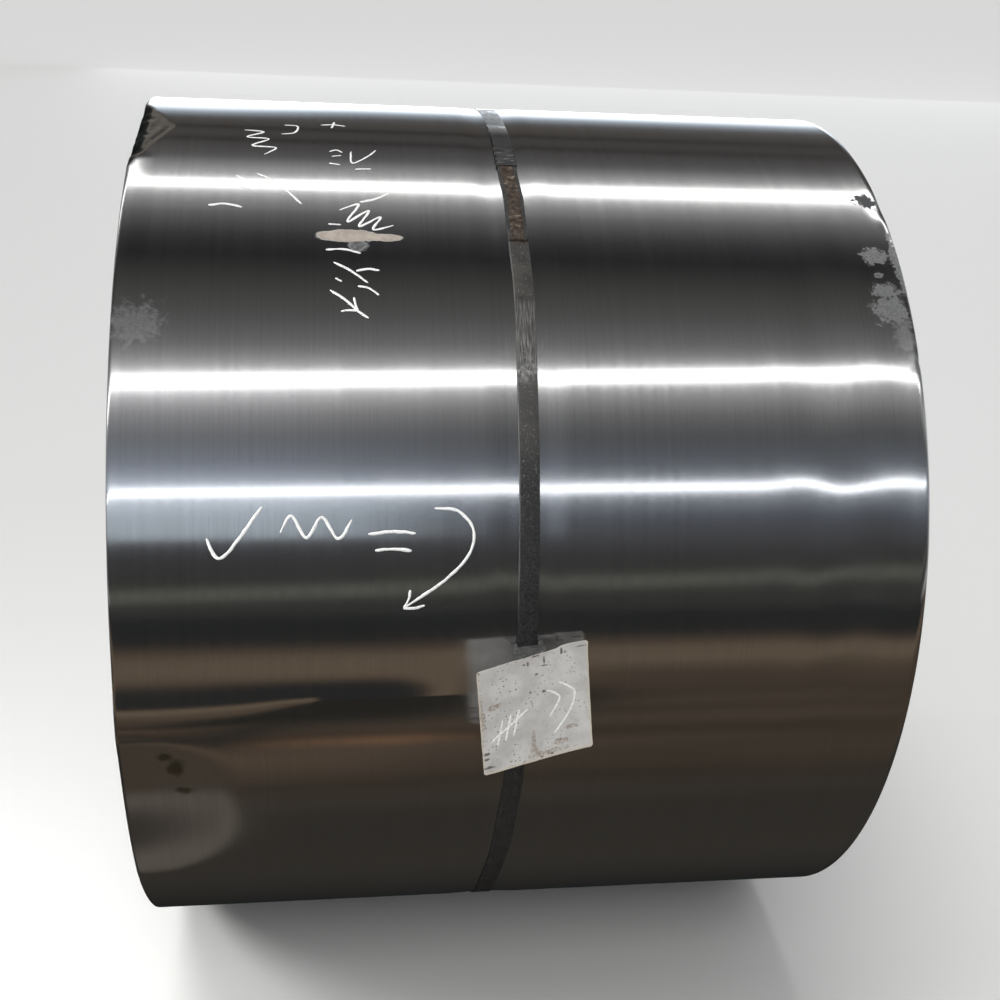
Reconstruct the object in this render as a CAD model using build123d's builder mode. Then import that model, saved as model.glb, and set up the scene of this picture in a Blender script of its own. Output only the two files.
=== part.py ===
# Steel coil: flat strip wound on a 508 mm bore, lying on its side with one steel strap round it.
# X runs along the coil's axis, -Y is the front and Z is up. The origin is the middle of the bore.

from build123d import *
from math import cos, degrees, radians, sin, sqrt
import os

# Wound strip
strip_width = 1250.0
coil_radius = 792.5
bore_radius = 254.0
strip_thickness = 2.0

# Sideways shift of each group of turns, from the bore outwards
turn_shifts = (-1.0, 1.5, -0.5, 1.0, 2.0, 2.0, 0.5, -1.5, -2.0, -2.0, -1.0, 1.0, -0.5)

# Ends of the strip: the outer one on the back, low down, and the inner one in the bore
outer_end_angle = 222.0
outer_end_fade = 30.0
inner_end_angle = 128.0
inner_end_fade = 35.0

# Steel strap, and the shallow valley that its pull makes in the outer turns
strap_x = -9.0
strap_width = 32.0
strap_thickness = 0.9
strap_gap = 0.65
valley_floor = 40.0
valley_width = 130.0
seat_gap = 0.3

# Crimped seal over the strap's lapped ends
seal_angle = 72.0
seal_length = 60.0
seal_thickness = 1.0
seal_lip = 10.0
notch_count = 3
notch_pitch = 17.0
notch_radius = 4.0
notch_reach = 1.4
inner_tail = 90.0
outer_tail = 195.0
joggle_length = 25.0

# Sheet tag: a page that stands off the coil, hung on the strap by a tongue folded back from its top edge
tag_width = 176.0
tag_height = 180.0
tag_thickness = 0.5
tag_right = 90.5
tag_top_z = 125.5
tag_tilt = 6.0
tag_right_standoff = 4.5
tag_right_hang = 21.0
tag_left_standoff = 58.0
tag_left_hang = 11.5
tongue_left = -24.0
tongue_right = 24.0


def spot(radius, angle):
    """Point in the YZ plane at an angle that turns up from the front."""
    return (-radius * cos(radians(angle)), radius * sin(radians(angle)))


def turn(length):
    """Angle in degrees that a length takes up round the outside of the coil."""
    return degrees(length / coil_radius)


# Sizes that follow from the driving dimensions
group_build = (coil_radius - bore_radius) / len(turn_shifts)
strap_inside = coil_radius - strap_thickness
valley_radius = strap_inside - strap_gap
seal_lift = seal_thickness + seat_gap
lap_lift = strap_thickness + seat_gap


# Coil: a turned profile whose stepped ends show the groups of turns
with BuildPart() as coil:
    with BuildSketch(Plane.XZ) as coil_profile:
        steps = [(turn_shifts[0], bore_radius)]
        for group, (shift, next_shift) in enumerate(zip(turn_shifts, turn_shifts[1:]), start=1):
            if next_shift != shift:
                steps.append((shift, bore_radius + group * group_build))
                steps.append((next_shift, bore_radius + group * group_build))
        steps.append((turn_shifts[-1], coil_radius))
        left_end = [(shift - strip_width / 2, radius) for shift, radius in steps]
        right_end = [(shift + strip_width / 2, radius) for shift, radius in steps]
        valley = [
            (strap_x - valley_width / 2, coil_radius),
            (strap_x - valley_floor / 2, valley_radius),
            (strap_x + valley_floor / 2, valley_radius),
            (strap_x + valley_width / 2, coil_radius),
        ]
        with BuildLine():
            Polyline(*left_end, *valley, *reversed(right_end), close=True)
        make_face()
    revolve(axis=Axis.X)

    # Outer end of the strip: a step of one thickness that fades back into the turn below
    with BuildSketch(Plane.YZ) as outer_end:
        fade_middle = outer_end_angle + outer_end_fade / 2
        fade_end = outer_end_angle + outer_end_fade
        clear_radius = coil_radius + strip_thickness
        with BuildLine():
            ThreePointArc(
                spot(coil_radius - strip_thickness, outer_end_angle),
                spot(coil_radius - strip_thickness / 4, fade_middle),
                spot(coil_radius, fade_end),
            )
            Line(spot(coil_radius, fade_end), spot(clear_radius, fade_end))
            ThreePointArc(
                spot(clear_radius, fade_end),
                spot(clear_radius, fade_middle),
                spot(clear_radius, outer_end_angle),
            )
            Line(spot(clear_radius, outer_end_angle), spot(coil_radius - strip_thickness, outer_end_angle))
        make_face()
    extrude(amount=strip_width, both=True, mode=Mode.SUBTRACT)

    # Inner end of the strip: the same step in the wall of the bore
    with BuildSketch(Plane.YZ) as inner_end:
        fade_middle = inner_end_angle + inner_end_fade / 2
        fade_end = inner_end_angle + inner_end_fade
        clear_radius = bore_radius - strip_thickness
        with BuildLine():
            ThreePointArc(
                spot(bore_radius + strip_thickness, inner_end_angle),
                spot(bore_radius + strip_thickness / 4, fade_middle),
                spot(bore_radius, fade_end),
            )
            Line(spot(bore_radius, fade_end), spot(clear_radius, fade_end))
            ThreePointArc(
                spot(clear_radius, fade_end),
                spot(clear_radius, fade_middle),
                spot(clear_radius, inner_end_angle),
            )
            Line(spot(clear_radius, inner_end_angle), spot(bore_radius + strip_thickness, inner_end_angle))
        make_face()
    extrude(amount=strip_width, both=True, mode=Mode.SUBTRACT)
coil.part.label = "coil"


# Crimps: round notches that bite into both long edges of the seal and of the strap inside it
def crimp_places():
    places = []
    for index in range(notch_count):
        angle = seal_angle + turn((index - (notch_count - 1) / 2) * notch_pitch)
        across, up = spot(strap_inside, angle)
        for side in (-1, 1):
            edge = strap_x + side * (strap_width / 2 + notch_radius - notch_reach)
            outward = (0, -cos(radians(angle)), sin(radians(angle)))
            places.append(Location(Plane(origin=(edge, across, up), x_dir=(1, 0, 0), z_dir=outward)))
    return places


# Strap: one band that goes once round the coil and laps over its own inner end under the seal
seal_front = seal_angle - turn(seal_length / 2)
seal_back = seal_angle + turn(seal_length / 2)
inner_tip = seal_back + turn(inner_tail)
joggle = turn(joggle_length)
strap_runs = [
    (inner_tip, seal_front - joggle / 2, seal_lift),
    (seal_front - joggle * 1.5, inner_tip + joggle * 1.5 - 360, 0),
    (inner_tip + joggle / 2 - 360, seal_front - joggle / 2 - 360, seal_lift + lap_lift),
    (seal_front - joggle * 1.5 - 360, seal_front - turn(outer_tail) - 360, lap_lift),
]
with BuildPart() as strap:
    with BuildSketch(Plane.YZ.offset(strap_x)) as strap_outline:
        with BuildLine():
            last = None
            for start, end, lift in strap_runs:
                radius = strap_inside + lift + strap_thickness
                if last is not None:
                    Line(last, spot(radius, start))
                ThreePointArc(spot(radius, start), spot(radius, (start + end) / 2), spot(radius, end))
                last = spot(radius, end)
            for start, end, lift in reversed(strap_runs):
                radius = strap_inside + lift
                Line(last, spot(radius, end))
                ThreePointArc(spot(radius, end), spot(radius, (start + end) / 2), spot(radius, start))
                last = spot(radius, start)
            Line(last, spot(strap_inside + seal_lift + strap_thickness, inner_tip))
        make_face()
    extrude(amount=strap_width / 2, both=True)
    with Locations(*crimp_places()):
        Cylinder(notch_radius, 12 * strap_thickness, mode=Mode.SUBTRACT)
strap.part.label = "strap"


# Seal: a sheet clip folded round both layers of the strap, with its lips under the lower one
seal_inside_width = strap_width + 2 * seat_gap
seal_inside_height = 2 * strap_thickness + 3 * seat_gap
with BuildPart() as strap_seal:
    seal_plane = Plane(
        origin=(strap_x, 0, 0),
        x_dir=(1, 0, 0),
        z_dir=(0, -sin(radians(seal_back)), -cos(radians(seal_back))),
    )
    with BuildSketch(seal_plane) as seal_section:
        with Locations((0, strap_inside)):
            Rectangle(
                seal_inside_width + 2 * seal_thickness,
                seal_inside_height + 2 * seal_thickness,
                align=(Align.CENTER, Align.MIN),
            )
        with Locations((0, strap_inside + seal_thickness)):
            Rectangle(
                seal_inside_width,
                seal_inside_height,
                align=(Align.CENTER, Align.MIN),
                mode=Mode.SUBTRACT,
            )
        with Locations((0, strap_inside)):
            Rectangle(
                seal_inside_width + 2 * seal_thickness - 2 * seal_lip,
                seal_thickness,
                align=(Align.CENTER, Align.MIN),
                mode=Mode.SUBTRACT,
            )
    revolve(axis=Axis.X, revolution_arc=turn(seal_length))
    with Locations(*crimp_places()):
        Cylinder(notch_radius, 12 * strap_thickness, mode=Mode.SUBTRACT)
strap_seal.part.label = "strap_seal"


# Tag: a gently bent page, lofted through level sections, and its slotted tongue
def tag_standoff(across, down):
    """How far the page's back stands in front of the coil, from right to left and from top to bottom."""
    right = tag_right_standoff + tag_right_hang * down ** 1.6
    left = tag_left_standoff + tag_left_hang * down
    return coil_radius + right + (left - right) * across ** 1.2


def circle_depth(radius, x):
    """Y of a circle round the bore at the height of the tag's top edge."""
    height = tag_top_z + x * sin(radians(tag_tilt))
    return -sqrt(radius ** 2 - height ** 2)


with BuildPart() as tag:
    tag_plane = Plane(
        origin=(strap_x, 0, tag_top_z),
        x_dir=(cos(radians(tag_tilt)), 0, sin(radians(tag_tilt))),
        z_dir=(-sin(radians(tag_tilt)), 0, cos(radians(tag_tilt))),
    )
    for down in (0.0, 0.33, 0.67, 1.0):
        with BuildSketch(tag_plane.offset(-down * tag_height)):
            shares = [step / 4 for step in range(5)]
            back = [(tag_right - share * tag_width, -tag_standoff(share, down)) for share in shares]
            front = [(x, y - tag_thickness) for x, y in back]
            with BuildLine():
                Spline(*back)
                Line(back[-1], front[-1])
                Spline(*reversed(front))
                Line(front[0], back[0])
            make_face()
    loft()

    # The tongue reaches from the middle of the page's thickness to the coil, with a slot for the strap
    with BuildSketch(tag_plane):
        edge = []
        for step in range(5):
            x = tongue_right + (tongue_left - tongue_right) * step / 4
            edge.append((x, -tag_standoff((tag_right - x) / tag_width, 0) - tag_thickness / 2))
        heel = [(x, circle_depth(valley_radius + 2 * seat_gap, x)) for x in (tongue_left, tongue_right)]
        with BuildLine():
            Spline(*edge)
            Polyline(edge[-1], heel[0], heel[1], edge[0])
        make_face()
        with Locations((0, circle_depth(coil_radius + seat_gap, -strap_width / 2))):
            Rectangle(
                strap_width + 2 * seat_gap,
                4 * strap_thickness,
                align=(Align.CENTER, Align.MIN),
                mode=Mode.SUBTRACT,
            )
    extrude(amount=-tag_thickness)
tag.part.label = "tag"


# Output
os.makedirs("parts", exist_ok=True)
for piece in (coil, strap, strap_seal, tag):
    export_step(piece.part, f"parts/{piece.part.label}.step")
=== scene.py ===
from math import atan2, cos, degrees, erf, hypot, pi, radians, sin, sqrt

import bmesh
import bpy
from mathutils import Matrix, Vector, noise


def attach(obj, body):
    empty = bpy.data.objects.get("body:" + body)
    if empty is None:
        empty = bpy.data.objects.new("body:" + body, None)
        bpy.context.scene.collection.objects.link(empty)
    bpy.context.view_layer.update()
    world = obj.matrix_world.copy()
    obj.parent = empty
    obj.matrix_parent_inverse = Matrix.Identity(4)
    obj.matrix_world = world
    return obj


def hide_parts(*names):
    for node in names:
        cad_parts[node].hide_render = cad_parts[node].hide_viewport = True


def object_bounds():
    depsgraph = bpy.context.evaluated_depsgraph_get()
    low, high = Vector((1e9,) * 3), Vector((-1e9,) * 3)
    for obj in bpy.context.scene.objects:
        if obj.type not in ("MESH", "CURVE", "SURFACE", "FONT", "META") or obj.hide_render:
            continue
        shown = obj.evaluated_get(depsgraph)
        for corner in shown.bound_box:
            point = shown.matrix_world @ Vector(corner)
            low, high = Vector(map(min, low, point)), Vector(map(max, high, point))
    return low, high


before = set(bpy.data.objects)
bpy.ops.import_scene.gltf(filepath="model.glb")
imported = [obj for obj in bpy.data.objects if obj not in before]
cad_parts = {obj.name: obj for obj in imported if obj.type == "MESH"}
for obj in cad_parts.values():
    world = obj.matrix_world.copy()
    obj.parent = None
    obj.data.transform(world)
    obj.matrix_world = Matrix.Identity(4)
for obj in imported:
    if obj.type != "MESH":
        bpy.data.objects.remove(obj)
cad_low, cad_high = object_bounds()


# Coil
# Cold rolled strip, 1250 mm wide, wound on a 508 mm mandrel. The outside is bright and finely lined along
# the rolling direction, and the ends show the edges of the turns, which stand a little in and out.

strip_width = 1.25
coil_radius = 0.7925
bore_radius = 0.254
strip_thickness = 0.002
edge_round = 0.0014

# Groups of turns stand in or out together: where the first starts, their build, how many, and the gap between
group_start = bore_radius + 0.0015
group_build = 0.0207
group_count = 25
group_gap = 0.0006

# Each end of the strip: its angle from the front turning up, and how far round its step fades, in degrees
outer_end = (222, 30)
inner_end = (128, 35)

# Shallow valley that the strap pulls into the outer turn
valley_depth = 0.00155
valley_floor = 0.020
valley_reach = 0.065

# Rows of the mesh in each twelfth of the turn, from the front turning up: finest round the folded corner
rows_per_twelfth = (60, 36, 72, 36, 18, 18, 18, 36, 18, 18, 36, 36)

# Rings of the mesh along the outside: first place, last place and how many
ring_runs = (
    (-0.6236, -0.5500, 18), (-0.5400, -0.3800, 11), (-0.3600, -0.1100, 12), (-0.0940, 0.0660, 20),
    (0.0850, 0.3350, 13), (0.3500, 0.6236, 31),
)


def angle_of(place):
    """Angle in degrees round the coil, from the front turning up."""
    return degrees(atan2(place.z, -place.y))


def spot(x, radius, angle):
    """Point at a place along the coil, a radius and an angle from the front turning up."""
    return Vector((x, -radius * cos(radians(angle)), radius * sin(radians(angle))))


def up_to(angle):
    """Way round the outside from the front up to an angle, in metres."""
    return radians(angle) * coil_radius


def turn(length):
    """Angle in degrees that a length takes up round the outside of the coil."""
    return degrees(length / coil_radius)


def smooth_step(value, start, end):
    """0 before the start, 1 after the end, and smooth between them."""
    share = min(max((value - start) / (end - start), 0.0), 1.0)
    return share * share * (3 - 2 * share)


def hill(value, middle, reach):
    """A smooth hill: 1 at the middle and 0 beyond its reach on either side."""
    share = min(abs(value - middle) / reach, 1.0)
    return (1 - share * share) ** 2


def through(points, value):
    """Smooth line through (place, height) points that are given in rising order."""
    if value <= points[0][0]:
        return points[0][1]
    for (start, low), (end, high) in zip(points, points[1:]):
        if value <= end:
            return low + (high - low) * smooth_step(value, start, end)
    return points[-1][1]


# Where the strap's middle lies along the coil, by the angle round it
strap_line = (
    (-90, -0.012), (-50, -0.022), (-35, -0.027), (-19, -0.020), (-8, -0.016), (10, -0.0092), (33, -0.0089),
    (49, -0.0057), (57, -0.007), (63, -0.006), (68, -0.009), (90, -0.009), (180, -0.009), (270, -0.012),
)


def strap_middle(angle):
    return through(strap_line, angle if angle > -90 else angle + 360)


# Loose turns along the right edge: the middle of their wave, and its length along the coil
wave_angle = 28
wave_x = 0.435
wave_length = 0.17

# Swollen and pushed-in parts low on the left: angles from the front turning up, and sizes in metres
swell_edge = 3.0
swell_shelf = 0.0011
hollow_x = -0.60
hollow_angle = -8
hollow_reach = 0.145
hollow_depth = 0.0085


def wavy_edge(x, angle):
    """Depth of the loose, wavy turns along the right edge."""
    loose = smooth_step(x, 0.33, 0.46)
    if loose == 0 or not -10 < angle < 62:
        return 0.0
    wave = 0.0065 * up_to(angle - wave_angle) * sin((x - wave_x) * 2 * pi / wave_length)
    ripple = 0.0005 * noise.noise((x * 14, angle * 0.16, 3.3))
    return loose * (wave * hill(angle, wave_angle, 34) + ripple * hill(angle, 22, 36))


def edge_dents(x, angle):
    """Depth of a turned-in stretch and of a knock on the right edge."""
    turned_in = (1 - smooth_step(angle, 63.4, 67.4)) * smooth_step(angle, 60.4, 63.4)
    knock = hill(hypot((x - 0.625) / 0.008, (angle - 40.6) / 0.8), 0, 1)
    return 0.0022 * turned_in * smooth_step(x, 0.598, 0.614) + 0.0020 * knock


def swelling(x, angle):
    """Depth, below 0, of the turns that swell out low on the left, most of all along a sharp edge."""
    far = smooth_step(-x, 0.30, 0.60)
    above = angle - swell_edge + 0.8 * far
    width = 2.4 + 0.8 * far
    steep = 0.0021 * width
    if above > 0:
        depth = steep * erf(above / width) + swell_shelf * erf(above / 7) - steep - swell_shelf
    else:
        reach = 2.4 + 1.2 * far
        turned_out = 0.0009 * reach * (1 - max(1 + above / reach, 0.0) ** 2)
        turned_out *= smooth_step(-x, 0.28, 0.46)
        depth = -(steep + swell_shelf + turned_out) * (1 - smooth_step(-above, 0, 62))
    return depth * smooth_step(-x, 0.04, 0.22)


def hollow(x, angle):
    """Depth of the pushed-in hollow with a clear rim, low on the left."""
    up = (angle - hollow_angle) / (6.5 if angle > hollow_angle else 17.5)
    return hollow_depth * max(1 - hypot((x - hollow_x) / hollow_reach, up) ** 2, 0.0)


def end_step(angle, strip_end):
    """The step at an end of the strip: one thickness, fading away into the turn beside it."""
    end, fade = strip_end
    past = (angle % 360 - end) / fade
    return strip_thickness * (1 - past) ** 2 if 0 <= past <= 1 else 0.0


def dented(x, angle):
    """How far the outermost turns lie inside the true circle, in metres."""
    away = abs(x - strap_middle(angle))
    depth = valley_depth * (1 - smooth_step(away, valley_floor, valley_reach))
    depth += 0.0010 * hill(away, 0, 0.15) * hill(angle, 8, 15)
    depth += wavy_edge(x, angle) + edge_dents(x, angle)
    depth += swelling(x, angle) + hollow(x, angle)
    return depth + end_step(angle, outer_end)


# Folded corner at the top of the left edge: the fold's farthest point, its two ends, its slope and its lip
corner_apex = (-0.563, 78.5)
corner_top = 87.5
corner_bottom = 68.2
corner_slope = 0.12
lip_start = -0.608
lip_slope = 0.42


def corner_fold(x, angle):
    """Depth inside the circle of the folded corner of the left edge, in metres, and its share of the lip."""
    flare = min(max((angle - 65.2) / 4.2, 0.0), 1.0) ** 2 * (1 - smooth_step(angle, 69.4, 71.2))
    depth = -0.0021 * flare * smooth_step(-x, 0.580, 0.614)
    if x > corner_apex[0] or not corner_bottom < angle < corner_top:
        return depth, 0.0
    edge = corner_top if angle > corner_apex[1] else corner_bottom
    share = (angle - edge) / (corner_apex[1] - edge)
    crease = -strip_width / 2 + (corner_apex[0] + strip_width / 2) * share
    inside = max(crease - x, 0.0)
    lip = max(min(lip_start, crease) - x, 0.0)
    nearest = noise.voronoi((x * 40, angle * 0.50, 1.7))[0]
    crumple = (nearest[1] - nearest[0]) * 0.0042 * smooth_step(inside, 0.0, 0.02)
    if angle < corner_apex[1]:
        crumple += 0.0014 * hill(crease - x, 0.003, 0.008)
    return depth + inside * corner_slope + lip * lip_slope + crumple, smooth_step(lip, 0.0, 0.007)


def end_shift(radius):
    """How far the turns at a radius stand out of line, to the left below 0 and to the right above it."""
    group = int((radius - bore_radius) / group_build)
    return 0.0019 * noise.noise((group * 0.37, 4.1, 0.7)) + 0.0006 * noise.noise((group * 1.9, 0.3, 8.2))


def coil_profile():
    """Section as (x, radius) points: up the left end, along the outside, down the right end and back."""
    half = strip_width / 2
    radii = [group_start + group_build * step for step in range(group_count + 1)]
    ends = {-1: [], 1: []}
    for side, ring in ends.items():
        for inner, outer in zip(radii, radii[1:]):
            place = end_shift(inner + 0.001) + side * half
            ring += [(place, inner), (place, outer - group_gap)]
        ring.append((end_shift(radii[-1] + 0.001) + side * half, radii[-1]))
        ring.append((side * half, coil_radius - edge_round - 0.004))
        ring.append((side * half, coil_radius - edge_round))
    outside = []
    for first, last, count in ring_runs:
        outside += [(first + (last - first) * step / (count - 1), coil_radius) for step in range(count)]
    bore = [(half - step * strip_width / 8, bore_radius) for step in range(9)]
    return ends[-1] + outside + ends[1][::-1] + bore


def face_outwards(mesh):
    """Turns the faces of a closed mesh outwards and shades them smoothly."""
    bmesh.ops.recalc_face_normals(mesh, faces=mesh.faces)
    for face in mesh.faces:
        face.smooth = True


def new_object(name, mesh):
    """Makes an object of a finished bmesh."""
    data = bpy.data.meshes.new(name)
    mesh.to_mesh(data)
    mesh.free()
    made = bpy.data.objects.new(name, data)
    bpy.context.scene.collection.objects.link(made)
    return made


section = coil_profile()
mesh = bmesh.new()
for rows in sorted(set(rows_per_twelfth)):
    wedge = bmesh.new()
    corners = [wedge.verts.new((x, -radius, 0)) for x, radius in section]
    edges = [wedge.edges.new(pair) for pair in zip(corners, corners[1:] + corners[:1])]
    bmesh.ops.spin(wedge, geom=corners + edges, cent=(0, 0, 0), axis=(1, 0, 0), angle=-pi / 6, steps=rows)
    wedge_mesh = bpy.data.meshes.new("wedge")
    wedge.to_mesh(wedge_mesh)
    wedge.free()
    for twelfth, count in enumerate(rows_per_twelfth):
        if count == rows:
            first = len(mesh.verts)
            mesh.from_mesh(wedge_mesh)
            mesh.verts.ensure_lookup_table()
            turned = Matrix.Rotation(-pi / 6 * twelfth, 3, "X")
            bmesh.ops.rotate(mesh, verts=mesh.verts[first:], cent=(0, 0, 0), matrix=turned)
    bpy.data.meshes.remove(wedge_mesh)
bmesh.ops.remove_doubles(mesh, verts=mesh.verts, dist=0.00002)
face_outwards(mesh)
for face in mesh.faces:
    face.material_index = 1 if abs(face.normal.x) > 0.5 else 0
lip_share = mesh.verts.layers.float.new("lip_share")
for vert in mesh.verts:
    radius = hypot(vert.co.y, vert.co.z)
    angle = angle_of(vert.co) % 360

    # The rows beside an end of the strip close up to it, so that its step is steep
    for end, _ in (outer_end, inner_end):
        if abs(angle - end) < 0.85:
            angle = end + (0.02 if angle > end else -0.02)
    hold = smooth_step(radius, coil_radius - 0.09, coil_radius - 0.002)
    if hold > 0:
        signed = angle if angle < 180 else angle - 360
        depth, vert[lip_share] = corner_fold(vert.co.x, signed)
        radius -= (dented(vert.co.x, signed) + depth) * hold
    if radius < bore_radius + 0.001:
        radius += end_step(angle, inner_end)
    vert.co = spot(vert.co.x, radius, angle)
for edge in mesh.edges:
    if len(edge.link_faces) == 2:
        middle = (edge.verts[0].co + edge.verts[1].co) / 2
        on_end = hypot(middle.y, middle.z) < coil_radius - 0.01
        creased = middle.x < corner_apex[0] and corner_bottom < angle_of(middle) < corner_top
        on_swell_edge = -0.34 < middle.x < -0.04 and abs(angle_of(middle) - swell_edge) < 0.1
        sharpest = radians(14 if on_end or creased else 50)
        edge.smooth = not on_swell_edge and edge.calc_face_angle() < sharpest
wound_strip = new_object("wound_strip", mesh)


class Finish:
    """A material with short calls for its nodes."""

    def __init__(self, name):
        self.material = bpy.data.materials.new(name)
        self.material.use_nodes = True
        self.tree = self.material.node_tree
        self.shader = self.tree.nodes["Principled BSDF"]
        self.place = self.add("TexCoord").outputs["Object"]

    def add(self, kind, *values, **settings):
        """Adds a node: values go to its first inputs, and capitalised names are inputs as well."""
        node = self.tree.nodes.new("ShaderNode" + kind)
        for name, value in settings.items():
            if name[0].isupper():
                self.feed(node.inputs[name.replace("_", " ")], value)
            else:
                setattr(node, name, value)
        for socket, value in zip(node.inputs, values):
            self.feed(socket, value)
        return node

    def feed(self, socket, value):
        if isinstance(value, bpy.types.NodeSocket):
            self.tree.links.new(value, socket)
        elif isinstance(value, tuple) and len(value) == 3 and socket.type == "RGBA":
            socket.default_value = (*value, 1)
        else:
            socket.default_value = value

    def math(self, operation, *values):
        return self.add("Math", *values, operation=operation).outputs[0]

    def chain(self, operation, values):
        """One number from several, taken in one after the other."""
        total = values[0]
        for value in values[1:]:
            total = self.math(operation, total, value)
        return total

    def times(self, *factors):
        return self.chain("MULTIPLY", factors)

    def most(self, *masks):
        return self.chain("MAXIMUM", masks)

    def mix(self, share, first, second, blend="MIX"):
        node = self.add("Mix", data_type="RGBA", blend_type=blend, Factor=share, A=first, B=second)
        return node.outputs["Result"]

    def layered(self, tone, *layers):
        """A tone under layers, each given as its mask and its own tone."""
        for mask, layer in layers:
            tone = self.mix(mask, tone, layer)
        return tone

    def split(self, place):
        """The X, Y and Z of a place."""
        return self.add("SeparateXYZ", place).outputs

    def turned(self, parts):
        """Angle round X from the front turning up, in radians."""
        return self.math("ARCTAN2", parts["Z"], self.times(parts["Y"], -1.0))

    def unroll(self, radius):
        """Makes self.unrolled: the place along X, and the way round it from the front turning up."""
        parts = self.split(self.place)
        way = self.times(self.turned(parts), radius)
        self.unrolled = self.add("CombineXYZ", parts["X"], way).outputs[0]

    def scaled(self, scale, place=None):
        return self.add("Mapping", Vector=place or self.place, Scale=scale).outputs["Vector"]

    def noise(self, scale, detail=2.0, stretch=(1, 1, 1), place=None):
        node = self.add("TexNoise", Vector=self.scaled(stretch, place), Scale=scale, Detail=detail)
        return node.outputs["Fac"]

    def ramp(self, value, low, high, first=0.0, last=1.0):
        node = self.add(
            "MapRange", interpolation_type="SMOOTHSTEP",
            Value=value, From_Min=low, From_Max=high, To_Min=first, To_Max=last,
        )
        return node.outputs["Result"]

    def near(self, centre, reach, soft, stretch):
        """1 near a point and 0 beyond its reach."""
        middle = tuple(place * scale for place, scale in zip(centre, stretch))
        node = self.add("VectorMath", self.scaled(stretch), middle, operation="DISTANCE")
        return self.ramp(node.outputs["Value"], reach * (1 - soft), reach, 1.0, 0.0)

    def length(self, place):
        return self.add("VectorMath", place, operation="LENGTH").outputs["Value"]

    def from_middle(self, place, x, up, wide, tall):
        """How far a place lies from the middle of an oval: 0 there, and 1 on the oval."""
        scale, shift = (1 / wide, 1 / tall, 0), (-x / wide, -up / tall, 0)
        return self.length(self.add("Mapping", Vector=place, Scale=scale, Location=shift).outputs["Vector"])

    def oval(self, x, up, wide, tall, ragged, torn, edge=0.12):
        """1 inside a ragged oval on the unrolled surface and 0 outside it."""
        out = self.math("MULTIPLY_ADD", torn, ragged, self.from_middle(self.unrolled, x, up, wide, tall))
        return self.ramp(out, 1 + ragged / 2 - edge, 1 + ragged / 2 + edge, 1.0, 0.0)

    def bump(self, height, distance, under=None):
        node = self.add("Bump", Height=height, Distance=distance)
        if under is not None:
            self.feed(node.inputs["Normal"], under)
        return node.outputs["Normal"]

    def set(self, **sockets):
        for name, value in sockets.items():
            self.feed(self.shader.inputs[name.replace("_", " ")], value)

    def coat(self, thing):
        """Adds the finish to an object."""
        thing.data.materials.append(self.material)

    def glow(self, colour):
        """Gives the finish a light of its own in place of its surface."""
        output = self.tree.nodes["Material Output"]
        self.feed(output.inputs["Surface"], self.add("Emission", colour).outputs[0])


rolled = Finish("rolled_steel")
rolled.unroll(coil_radius)
lines = rolled.noise(1.0, 3.0, stretch=(420, 2.5, 2.5))
broad_lines = rolled.noise(1.0, 2.0, stretch=(60, 1.2, 1.2))
torn = rolled.noise(60, 7.0)
fine_torn = rolled.noise(170, 5.0)

# Dull whitish rubs by the right edge and a faint one by the left: place, angle, half sizes and strength
rubs = (
    (0.583, 55.1, 0.019, 0.015, 0.8), (0.582, 52.2, 0.006, 0.006, 1.0), (0.587, 50.0, 0.018, 0.013, 0.7),
    (0.588, 47.5, 0.024, 0.021, 0.8), (0.620, 54.6, 0.008, 0.050, 0.8), (0.606, 44.5, 0.016, 0.030, 0.25),
    (0.612, 39.5, 0.010, 0.014, 0.15), (-0.590, 44.5, 0.035, 0.030, 0.16),
)
torn_rub = rolled.math("SUBTRACT", rolled.math("ADD", fine_torn, torn), 0.5)
rub = rolled.most(*[
    rolled.times(rolled.oval(x, up_to(angle), wide, tall, 1.9, torn_rub, 0.45), strength)
    for x, angle, wide, tall, strength in rubs
])

# Tape residue among the chalk marks, with a grey smear under it
residue = rolled.most(
    rolled.oval(-0.277, up_to(56.5), 0.048, 0.0125, 0.8, torn),
    rolled.oval(-0.222, up_to(56.35), 0.034, 0.0075, 0.9, torn),
)
smear = rolled.oval(-0.261, up_to(55.1), 0.013, 0.012, 1.2, torn, 0.4)

# Dark, dull patch on the dented right edge
dark_patch = rolled.oval(0.600, up_to(64.7), 0.018, 0.016, 1.9, torn_rub, 0.2)

# Oil stains low on the left, which darken the steel and leave its shine
stains = ((-0.556, -4.0, 0.012, 0.008), (-0.541, -5.6, 0.012, 0.016), (-0.531, -9.2, 0.013, 0.007))
stain = rolled.most(*[
    rolled.oval(x, up_to(angle), wide, tall, 1.6, torn, 0.5) for x, angle, wide, tall in stains
])

# Fine scratches beside the strap
scratch_lines = rolled.ramp(rolled.noise(1.0, 3.0, stretch=(1500, 14, 14)), 0.60, 0.72)
scratched = rolled.most(
    rolled.oval(-0.039, up_to(41.6), 0.014, 0.026, 0.5, torn, 0.5),
    rolled.oval(0.023, up_to(42.3), 0.011, 0.028, 0.5, torn, 0.5),
    rolled.oval(-0.040, up_to(60.0), 0.010, 0.050, 0.5, torn, 0.5),
)
scratched = rolled.times(scratched, scratch_lines, 0.30)

# The crumpled lip of the folded corner gets painted shade and grime: darker, greenish steel there
lip = rolled.add("Attribute", attribute_name="lip_share").outputs["Fac"]
lip_grime_and_shade = rolled.times(lip, rolled.ramp(torn, 0.62, 0.48))

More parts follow.
